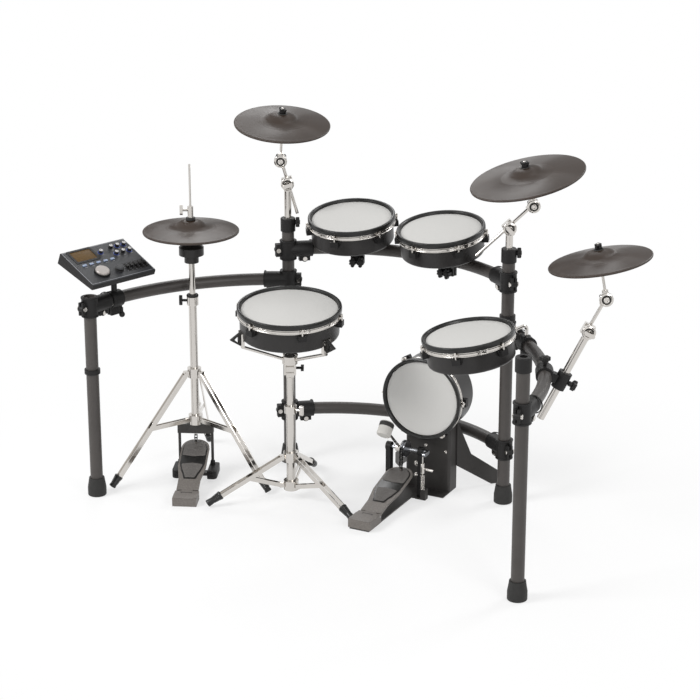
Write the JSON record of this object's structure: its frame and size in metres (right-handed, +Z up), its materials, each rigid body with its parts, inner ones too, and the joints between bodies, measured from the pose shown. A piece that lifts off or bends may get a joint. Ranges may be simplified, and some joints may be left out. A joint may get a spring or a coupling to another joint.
{
  "type": "electronic drum kit",
  "caption": "Electronic drum kit on a bent tube rack: mesh pads, rubber cymbals on tilting arms, hi-hat stand, snare stand, kick tower with chain pedal, and a sloped sound module.",
  "frame": {"origin": "on the floor below the middle of the whole kit's bounding box", "axes": "+X to the drummer's right, +Y from the drummer to the audience, +Z up"},
  "size_m": [1.7516, 0.8672, 1.1558],
  "materials": {
    "powder_coat": "satin black powder coat",
    "chrome": "polished",
    "steel": "bright zinc",
    "black_plastic": "moulded, fine grain",
    "shell_plastic": "moulded, low gloss",
    "rubber": "matt",
    "cymbal_rubber": "satin",
    "mesh": "woven polyester",
    "rack_tube": "dark grey satin paint",
    "felt": "smooth",
    "module_plastic": "fine grain",
    "dial_silver": "satin silver",
    "button_white": "translucent white"
  },
  "bodies": {
    "rack": {"rack_uprights": "rack_tube", "rack_bars": "rack_tube", "rack_feet": "rubber", "rack_clamps": "black_plastic", "rack_bolts": "steel", "rack_collars": "black_plastic", "arm_clamps": "black_plastic", "kick_tower": "powder_coat", "kick_tower_legs": "powder_coat", "kick_shell": "shell_plastic", "kick_hoop": "rubber", "kick_head": "mesh", "kick_pedal_base": "powder_coat", "kick_chain": "steel", "kick_spring": "chrome", "hihat_tube": "chrome", "hihat_legs": "chrome", "hihat_pedal_base": "powder_coat", "hihat_controller": "black_plastic", "stand_feet": "rubber", "snare_column": "chrome", "snare_legs": "chrome"},
    "kick_pedal": {"kick_footboard": "powder_coat"},
    "beater": {"kick_axle": "steel", "kick_beater": "felt"},
    "hihat_pedal": {"hihat_footboard": "powder_coat"},
    "hihat_top": {"hihat_rod": "chrome", "hihat_clutch": "chrome", "hihat_cymbal": "cymbal_rubber", "hihat_chain": "steel"},
    "snare": {"snare_basket": "chrome", "snare_shell": "shell_plastic", "snare_hoop": "rubber", "snare_head": "mesh"},
    "module": {"module_case": "module_plastic", "module_knobs": "black_plastic"},
    "dial": {"module_dial": "dial_silver"},
    "buttons": {"module_buttons": "button_white"},
    "faders": {"module_faders": "black_plastic"},
    "tom1": {"tom1_shell": "shell_plastic", "tom1_hoop": "rubber", "tom1_head": "mesh"},
    "tom2": {"tom2_shell": "shell_plastic", "tom2_hoop": "rubber", "tom2_head": "mesh"},
    "tom3": {"tom3_shell": "shell_plastic", "tom3_hoop": "rubber", "tom3_head": "mesh"},
    "left_mast": {"left_mast": "chrome"},
    "left_boom": {"left_boom": "chrome"},
    "left_post": {"left_post": "chrome"},
    "left_cymbal": {"left_cymbal": "cymbal_rubber"},
    "ride_mast": {"ride_mast": "chrome"},
    "ride_boom": {"ride_boom": "chrome"},
    "ride_post": {"ride_post": "chrome"},
    "ride_cymbal": {"ride_cymbal": "cymbal_rubber"},
    "crash_mast": {"crash_mast": "chrome"},
    "crash_boom": {"crash_boom": "chrome"},
    "crash_post": {"crash_post": "chrome"},
    "crash_cymbal": {"crash_cymbal": "cymbal_rubber"}
  },
  "joints": [
    {"name": "kick_pedal_press", "type": "hinge", "parent": "rack", "child": "kick_pedal", "pos_m": [0.06965, -0.10472, 0.024], "axis": [-1, 0, 0], "range_deg": [0, 5.2], "stiffness_Nm_per_rad": 8, "springref_deg": -20.05, "deforming": ["kick_chain"]},
    {"name": "kick_beater_swing", "type": "hinge", "parent": "rack", "child": "beater", "pos_m": [0.06965, 0.14158, 0.15], "axis": [-1, 0, 0], "range_deg": [0, 44.5], "deforming": ["kick_spring"]},
    {"name": "hihat_pedal_press", "type": "hinge", "parent": "rack", "child": "hihat_pedal", "pos_m": [-0.50574, -0.20315, 0.02], "axis": [-0.9245, -0.3811, 0], "range_deg": [0, 6.5], "deforming": ["hihat_chain"]},
    {"name": "hihat_close", "type": "slide", "parent": "rack", "child": "hihat_top", "axis": [0, 0, -1], "range_m": [0, 0.0245], "stiffness_N_per_m": 700, "springref_m": -0.05},
    {"name": "tom1_tilt", "type": "hinge", "parent": "rack", "child": "tom1", "pos_m": [-0.18923, 0.29812, 0.73093], "axis": [-0.9976, -0.0698, 0], "range_deg": [-8, 8]},
    {"name": "tom2_tilt", "type": "hinge", "parent": "rack", "child": "tom2", "pos_m": [0.11569, 0.29977, 0.73093], "axis": [-0.9703, 0.2419, 0], "range_deg": [-8, 8]},
    {"name": "tom3_tilt", "type": "hinge", "parent": "rack", "child": "tom3", "pos_m": [0.43084, 0.06299, 0.60031], "axis": [-0.3628, -0.9252, -0.1115], "range_deg": [-8, 8]},
    {"name": "snare_tilt", "type": "hinge", "parent": "rack", "child": "snare", "pos_m": [-0.22635, -0.04742, 0.424], "axis": [-0.891, -0.454, 0], "range_deg": [-8, 8]},
    {"name": "left_mast_turn", "type": "hinge", "parent": "rack", "child": "left_mast", "pos_m": [-0.37635, 0.22158, 0.915], "axis": [0, 0, 1], "range_deg": [-20, 20]},
    {"name": "left_boom_tilt", "type": "hinge", "parent": "left_mast", "child": "left_boom", "pos_m": [-0.37635, 0.22158, 0.915], "axis": [0.454, -0.891, 0], "range_deg": [-10, 10]},
    {"name": "left_post_tilt", "type": "hinge", "parent": "left_boom", "child": "left_post", "pos_m": [-0.39991, 0.22204, 0.98572], "axis": [0.4406, -0.8838, -0.1574], "range_deg": [-10, 10]},
    {"name": "left_cymbal_rock", "type": "hinge", "parent": "left_post", "child": "left_cymbal", "pos_m": [-0.37927, 0.19936, 1.13267], "axis": [0.4406, -0.8838, -0.1574], "range_deg": [-4, 4], "stiffness_Nm_per_rad": 6},
    {"name": "ride_mast_turn", "type": "hinge", "parent": "rack", "child": "ride_mast", "pos_m": [0.36365, 0.22158, 0.868], "axis": [0, 0, 1], "range_deg": [-20, 20]},
    {"name": "ride_boom_tilt", "type": "hinge", "parent": "ride_mast", "child": "ride_boom", "pos_m": [0.36365, 0.22158, 0.868], "axis": [0.454, -0.891, 0], "range_deg": [-10, 10]},
    {"name": "ride_post_tilt", "type": "hinge", "parent": "ride_boom", "child": "ride_post", "pos_m": [0.41939, 0.26504, 0.93294], "axis": [0.469, -0.8795, -0.08], "range_deg": [-10, 10]},
    {"name": "ride_cymbal_rock", "type": "hinge", "parent": "ride_post", "child": "ride_cymbal", "pos_m": [0.40287, 0.23903, 1.04701], "axis": [0.469, -0.8795, -0.08], "range_deg": [-4, 4], "stiffness_Nm_per_rad": 6},
    {"name": "crash_mast_turn", "type": "hinge", "parent": "rack", "child": "crash_mast", "pos_m": [0.71265, -0.02542, 0.675], "axis": [0.3948, 0.2012, 0.8965], "range_deg": [-20, 20]},
    {"name": "crash_boom_tilt", "type": "hinge", "parent": "crash_mast", "child": "crash_boom", "pos_m": [0.71265, -0.02542, 0.675], "axis": [0.454, -0.891, 0], "range_deg": [-10, 10]},
    {"name": "crash_post_tilt", "type": "hinge", "parent": "crash_boom", "child": "crash_post", "pos_m": [0.74787, 0.00939, 0.76593], "axis": [0.4471, -0.8936, 0.0403], "range_deg": [-10, 10]},
    {"name": "crash_cymbal_rock", "type": "hinge", "parent": "crash_post", "child": "crash_cymbal", "pos_m": [0.7258, -0.00215, 0.90383], "axis": [0.4471, -0.8936, 0.0403], "range_deg": [-4, 4], "stiffness_Nm_per_rad": 6},
    {"name": "module_tilt", "type": "hinge", "parent": "rack", "child": "module", "pos_m": [-0.75116, -0.19219, 0.6943], "axis": [0.3256, 0.9455, 0], "range_deg": [-8, 8]},
    {"name": "dial_turn", "type": "hinge", "parent": "module", "child": "dial", "pos_m": [-0.73143, -0.28258, 0.71746], "axis": [0.3694, -0.1272, 0.9205], "continuous": true},
    {"name": "buttons_press", "type": "slide", "parent": "module", "child": "buttons", "axis": [-0.3694, 0.1272, -0.9205], "range_m": [0, 0.0015], "stiffness_N_per_m": 400},
    {"name": "faders_slide", "type": "slide", "parent": "module", "child": "faders", "axis": [-0.8704, 0.2997, 0.3907], "range_m": [-0.012, 0.012]}
  ],
  "couplings": [
    {"joint": "kick_beater_swing", "follows": "kick_pedal_press", "ratio": 8.468},
    {"joint": "hihat_close", "follows": "hihat_pedal_press", "m_per_rad": 0.21142}
  ]
}
